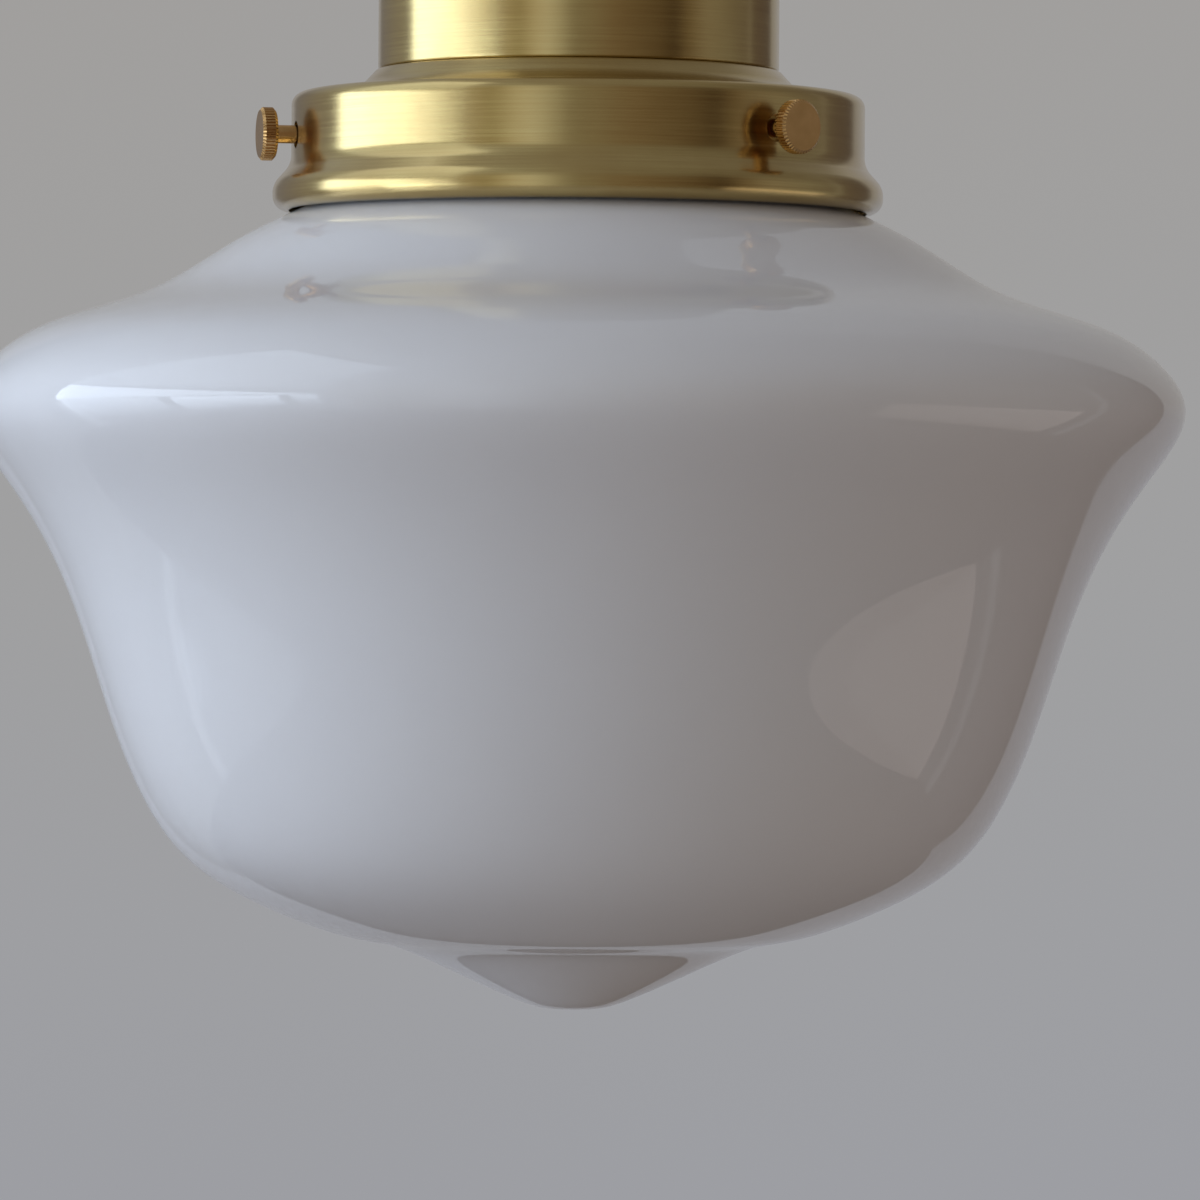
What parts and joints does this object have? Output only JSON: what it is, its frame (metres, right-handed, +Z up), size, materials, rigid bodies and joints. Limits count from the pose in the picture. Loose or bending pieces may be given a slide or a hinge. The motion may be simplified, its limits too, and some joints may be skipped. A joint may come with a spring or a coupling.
{
  "type": "pendant lamp",
  "caption": "Schoolhouse pendant lamp: opal glass bowl with a stepped shoulder and pointed foot, held by knurled screws in a brass gallery under a brass cup.",
  "frame": {"origin": "centre of the cord inlet's mouth, at the top of the gland on the lamp's axis", "axes": "+Z up along the lamp's axis, -Y towards the viewer in the picture, +X to the viewer's right"},
  "size_m": [0.2, 0.2, 0.2344],
  "materials": {
    "brass_satin": "satin, brushed round the axis, clear lacquered",
    "brass_polished": "turned and polished",
    "brass_plain": "plain",
    "opal_glass": "glossy opal white",
    "black_bakelite": "moulded",
    "white_ceramic": "glazed ceramic",
    "zinc_steel": "zinc plated",
    "nickel_plate": "nickel plated",
    "black_rubber": "matte",
    "solder": "dull",
    "black_glass": "glossy",
    "white_plastic": "moulded",
    "board_white": "solder mask",
    "frosted_plastic": "frosted",
    "nylon_tip": "moulded"
  },
  "bodies": {
    "root": {"gland_nut": "brass_satin", "gland_seal": "black_rubber", "gland_body": "brass_satin", "nipple": "zinc_steel", "lock_washer": "zinc_steel", "earth_tag": "zinc_steel", "hex_nut": "zinc_steel", "cup": "brass_satin", "gallery": "brass_satin", "gallery_nuts": "brass_plain", "glass_shade": "opal_glass", "holder_cap": "black_bakelite", "cap_lock_screw": "zinc_steel", "holder_insert": "white_ceramic", "terminal_screws": "brass_plain", "centre_contact": "brass_plain", "screw_shell": "nickel_plate", "holder_barrel": "black_bakelite", "shade_ring": "black_bakelite"},
    "bulb": {"bulb_contact": "solder", "bulb_insulator": "black_glass", "bulb_cap": "nickel_plate", "bulb_body": "white_plastic", "led_board": "board_white", "bulb_globe": "frosted_plastic"},
    "screw_tip_1": {"screw_tip_1": "nylon_tip"},
    "thumbscrew_1": {"thumbscrew_1": "brass_polished"},
    "screw_tip_2": {"screw_tip_2": "nylon_tip"},
    "thumbscrew_2": {"thumbscrew_2": "brass_polished"},
    "screw_tip_3": {"screw_tip_3": "nylon_tip"},
    "thumbscrew_3": {"thumbscrew_3": "brass_polished"}
  },
  "joints": [
    {"name": "tip_1_travel", "type": "slide", "parent": "root", "child": "screw_tip_1", "axis": [0.3007, 0.9537, 0], "range_m": [0, 0.004]},
    {"name": "thumbscrew_1_turn", "type": "hinge", "parent": "screw_tip_1", "child": "thumbscrew_1", "pos_m": [0.01383, 0.04387, -0.0913], "axis": [0.3007, 0.9537, 0], "range_deg": [0, 2885]},
    {"name": "tip_2_travel", "type": "slide", "parent": "root", "child": "screw_tip_2", "axis": [-0.9763, -0.2164, 0], "range_m": [0, 0.004]},
    {"name": "thumbscrew_2_turn", "type": "hinge", "parent": "screw_tip_2", "child": "thumbscrew_2", "pos_m": [-0.04491, -0.00996, -0.0913], "axis": [-0.9763, -0.2164, 0], "range_deg": [0, 2885]},
    {"name": "tip_3_travel", "type": "slide", "parent": "root", "child": "screw_tip_3", "axis": [0.6756, -0.7373, 0], "range_m": [0, 0.004]},
    {"name": "thumbscrew_3_turn", "type": "hinge", "parent": "screw_tip_3", "child": "thumbscrew_3", "pos_m": [0.03108, -0.03391, -0.0913], "axis": [0.6756, -0.7373, 0], "range_deg": [0, 2885]},
    {"name": "bulb_out", "type": "slide", "parent": "root", "child": "bulb", "axis": [0, 0, -1], "range_m": [0, 0.026]}
  ],
  "couplings": [
    {"joint": "thumbscrew_1_turn", "follows": "tip_1_travel", "rad_per_m": 12566},
    {"joint": "thumbscrew_2_turn", "follows": "tip_2_travel", "rad_per_m": 12566},
    {"joint": "thumbscrew_3_turn", "follows": "tip_3_travel", "rad_per_m": 12566}
  ]
}
